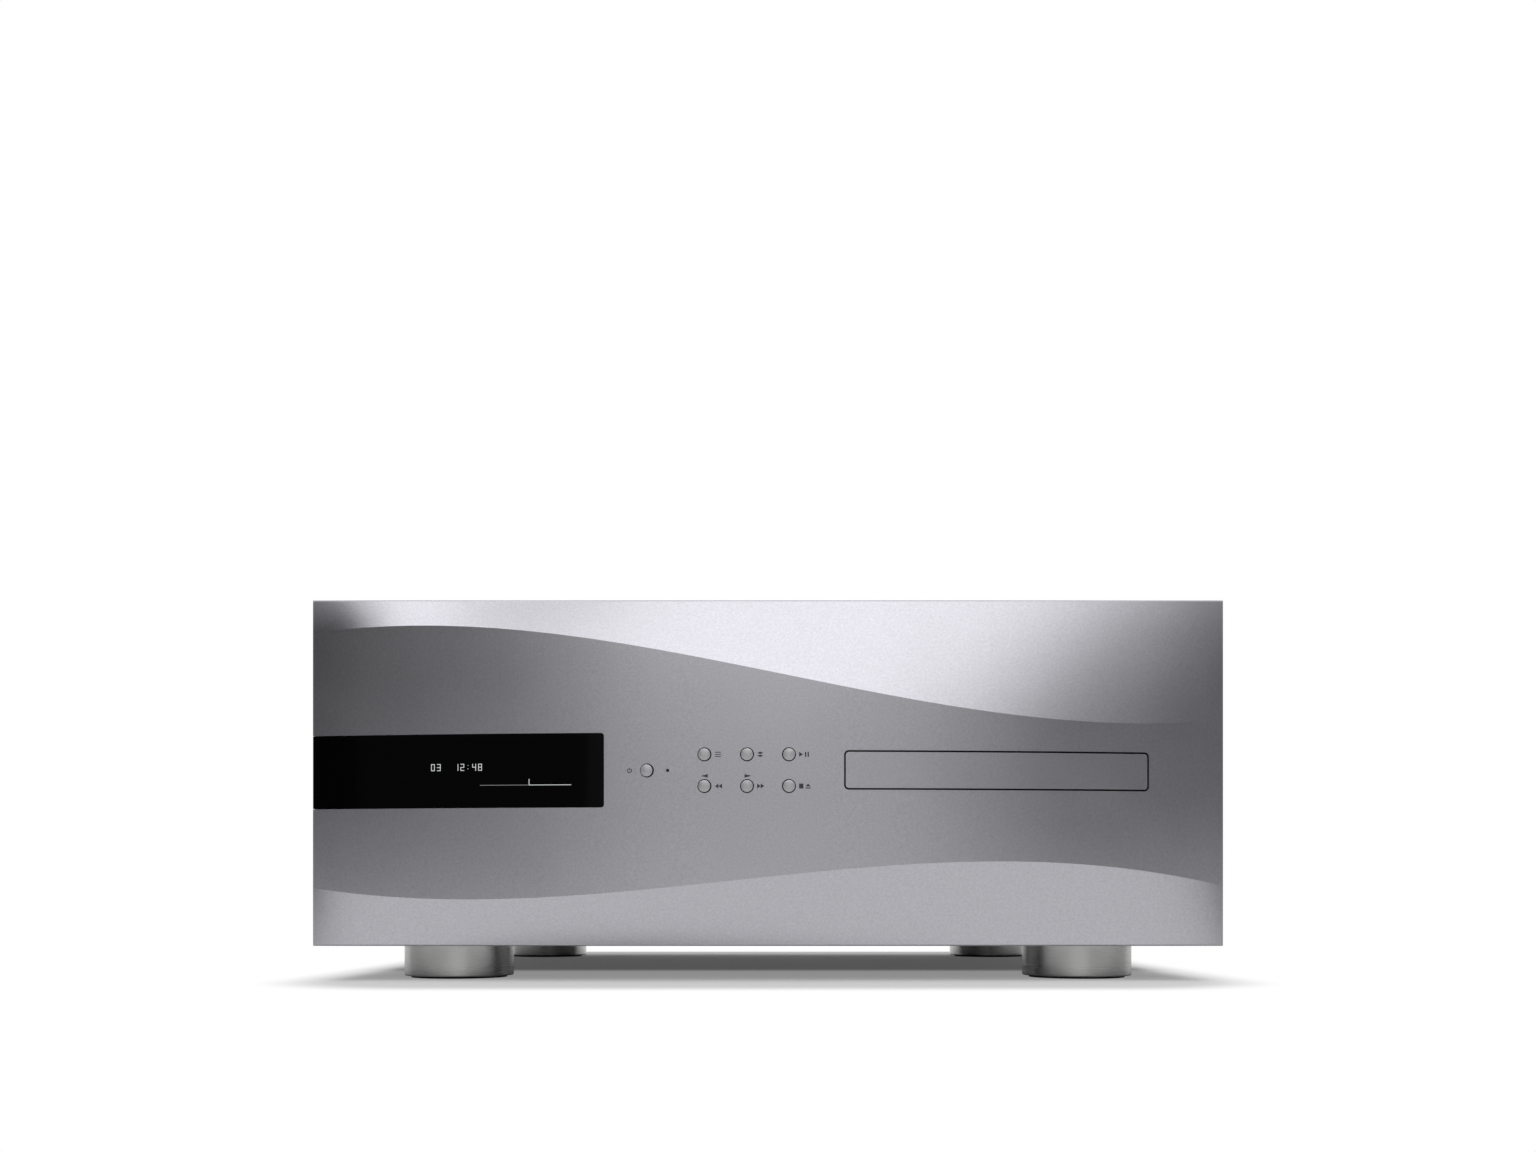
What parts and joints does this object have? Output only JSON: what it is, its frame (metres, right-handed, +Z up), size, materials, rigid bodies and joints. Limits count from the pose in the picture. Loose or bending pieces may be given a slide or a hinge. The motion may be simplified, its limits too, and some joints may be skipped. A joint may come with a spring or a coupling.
{
  "type": "cd transport",
  "caption": "Full-width disc transport with a bowed aluminium front plate, black display window, domed buttons, a sliding disc tray with its loader inside, and round metal feet.",
  "frame": {"origin": "on the floor, under the middle of the case", "axes": "+X right seen from the front, front faces -Y, +Z up"},
  "size_m": [0.444, 0.4372, 0.186],
  "materials": {
    "blasted_aluminium": "fine bead-blasted, satin",
    "case_aluminium": "fine bead-blasted, satin",
    "turned_aluminium": "turned and polished",
    "button_aluminium": "polished dome",
    "black_glass": "polished black glass",
    "black_plastic": "fine moulded grain",
    "white_plastic": "moulded, slightly waxy",
    "light_lens": "clear dark lens",
    "circuit_board": "solder mask",
    "pad_rubber": "matt",
    "screw_steel": "plated",
    "loader_metal": "powder coated",
    "motor_steel": "drawn and plated",
    "lens_glass": "coated",
    "transformer_wrap": "varnished tape over copper and steel",
    "socket_metal": "nickel plated",
    "cable_plastic": "ribbed flat cable"
  },
  "bodies": {
    "case": {"front_plate": "blasted_aluminium", "display_window": "black_glass", "display_module": "black_plastic", "button_board": "circuit_board", "status_light": "light_lens", "base_plate": "case_aluminium", "side_left": "case_aluminium", "side_right": "case_aluminium", "top_cover": "case_aluminium", "corner_posts": "case_aluminium", "rear_panel": "case_aluminium", "case_screws": "screw_steel", "base_bolts": "screw_steel", "foot_front_left": "turned_aluminium", "foot_front_right": "turned_aluminium", "foot_rear_left": "turned_aluminium", "foot_rear_right": "turned_aluminium", "foot_pads": "pad_rubber", "mechanism_deck": "case_aluminium", "chassis_posts": "screw_steel", "deck_dampers": "pad_rubber", "loader_screws": "screw_steel", "loader_floor": "loader_metal", "loader_rail_left": "loader_metal", "loader_rail_right": "loader_metal", "clamp_bridge": "loader_metal", "drive_belt": "pad_rubber", "tray_motor": "motor_steel", "lift_motor": "motor_steel", "main_board": "circuit_board", "power_board": "circuit_board", "toroid_transformers": "transformer_wrap", "mains_inlet": "black_plastic", "digital_sockets": "socket_metal", "coax_sockets": "socket_metal", "flat_cable": "cable_plastic"},
    "tray": {"tray_front": "blasted_aluminium", "disc_tray": "black_plastic"},
    "tray_gear": {"tray_pinion": "white_plastic"},
    "tray_rotor": {"motor_pulley": "motor_steel"},
    "clamp": {"clamper": "black_plastic"},
    "traverse": {"traverse_frame": "loader_metal", "spindle_motor": "motor_steel", "sled_rods": "screw_steel", "sled_motor": "motor_steel"},
    "spindle": {"turntable": "black_plastic"},
    "pickup": {"pickup_sled": "black_plastic"},
    "focus": {"lens_holder": "black_plastic", "objective_lens": "lens_glass"},
    "screw": {"sled_leadscrew": "screw_steel"},
    "lift_slide": {"lift_cam": "white_plastic"},
    "lift_gear": {"lift_pinion": "white_plastic"},
    "rocker": {"power_rocker": "black_plastic"},
    "power_button_body": {"power_button": "button_aluminium"},
    "menu_button_body": {"menu_button": "button_aluminium"},
    "layer_button_body": {"layer_button": "button_aluminium"},
    "play_pause_button_body": {"play_pause_button": "button_aluminium"},
    "rewind_button_body": {"rewind_button": "button_aluminium"},
    "forward_button_body": {"forward_button": "button_aluminium"},
    "stop_eject_button_body": {"stop_eject_button": "button_aluminium"}
  },
  "joints": [
    {"name": "tray_slide", "type": "slide", "parent": "case", "child": "tray", "axis": [0, -1, 0], "range_m": [0, 0.14]},
    {"name": "tray_pinion_spin", "type": "hinge", "parent": "case", "child": "tray_gear", "pos_m": [0.1629, -0.1638, 0.0928], "axis": [0, 0, 1], "range_deg": [-1146.92, 0]},
    {"name": "tray_rotor_spin", "type": "hinge", "parent": "case", "child": "tray_rotor", "pos_m": [0.1264, -0.1638, 0.0607], "axis": [0, 0, 1], "range_deg": [-3438.75, 0]},
    {"name": "traverse_lift", "type": "slide", "parent": "case", "child": "traverse", "axis": [0, 0, 1], "range_m": [0, 0.0111]},
    {"name": "lift_cam_slide", "type": "slide", "parent": "case", "child": "lift_slide", "axis": [0, -1, 0], "range_m": [0, 0.024]},
    {"name": "lift_pinion_spin", "type": "hinge", "parent": "case", "child": "lift_gear", "pos_m": [0.0524, -0.0888, 0.084], "axis": [0, 0, 1], "range_deg": [-197.44, 0]},
    {"name": "turntable_spin", "type": "hinge", "parent": "traverse", "child": "spindle", "pos_m": [0.1104, -0.1293, 0.0925], "axis": [0, 0, 1], "continuous": true},
    {"name": "clamper_spin", "type": "hinge", "parent": "case", "child": "clamp", "pos_m": [0.1104, -0.1293, 0.1088], "axis": [0, 0, 1], "continuous": true},
    {"name": "pickup_slide", "type": "slide", "parent": "traverse", "child": "pickup", "axis": [0, 1, 0], "range_m": [0, 0.036]},
    {"name": "leadscrew_spin", "type": "hinge", "parent": "traverse", "child": "screw", "pos_m": [0.1244, -0.1293, 0.0745], "axis": [0, 1, 0], "range_deg": [0, 4321]},
    {"name": "lens_focus", "type": "slide", "parent": "pickup", "child": "focus", "axis": [0, 0, 1], "range_m": [-0.0006, 0.0006], "stiffness_N_per_m": 40},
    {"name": "rocker_tilt", "type": "hinge", "parent": "case", "child": "rocker", "pos_m": [-0.138, 0.2072, 0.062], "axis": [1, 0, 0], "range_deg": [0, 16]},
    {"name": "power_button_press", "type": "slide", "parent": "case", "child": "power_button_body", "axis": [0, 1, 0], "range_m": [0, 0.0006], "stiffness_N_per_m": 500, "springref_m": -0.001},
    {"name": "menu_button_press", "type": "slide", "parent": "case", "child": "menu_button_body", "axis": [0, 1, 0], "range_m": [0, 0.0006], "stiffness_N_per_m": 500, "springref_m": -0.001},
    {"name": "layer_button_press", "type": "slide", "parent": "case", "child": "layer_button_body", "axis": [0, 1, 0], "range_m": [0, 0.0006], "stiffness_N_per_m": 500, "springref_m": -0.001},
    {"name": "play_pause_button_press", "type": "slide", "parent": "case", "child": "play_pause_button_body", "axis": [0, 1, 0], "range_m": [0, 0.0006], "stiffness_N_per_m": 500, "springref_m": -0.001},
    {"name": "rewind_button_press", "type": "slide", "parent": "case", "child": "rewind_button_body", "axis": [0, 1, 0], "range_m": [0, 0.0006], "stiffness_N_per_m": 500, "springref_m": -0.001},
    {"name": "forward_button_press", "type": "slide", "parent": "case", "child": "forward_button_body", "axis": [0, 1, 0], "range_m": [0, 0.0006], "stiffness_N_per_m": 500, "springref_m": -0.001},
    {"name": "stop_eject_button_press", "type": "slide", "parent": "case", "child": "stop_eject_button_body", "axis": [0, 1, 0], "range_m": [0, 0.0006], "stiffness_N_per_m": 500, "springref_m": -0.001}
  ],
  "couplings": [
    {"joint": "tray_pinion_spin", "follows": "tray_slide", "rad_per_m": -142.86},
    {"joint": "tray_rotor_spin", "follows": "tray_slide", "rad_per_m": -428.57},
    {"joint": "lift_cam_slide", "follows": "traverse_lift", "ratio": 2.1622},
    {"joint": "lift_pinion_spin", "follows": "traverse_lift", "rad_per_m": -308.88},
    {"joint": "clamper_spin", "follows": "turntable_spin", "ratio": 1},
    {"joint": "leadscrew_spin", "follows": "pickup_slide", "rad_per_m": 2094.4}
  ]
}
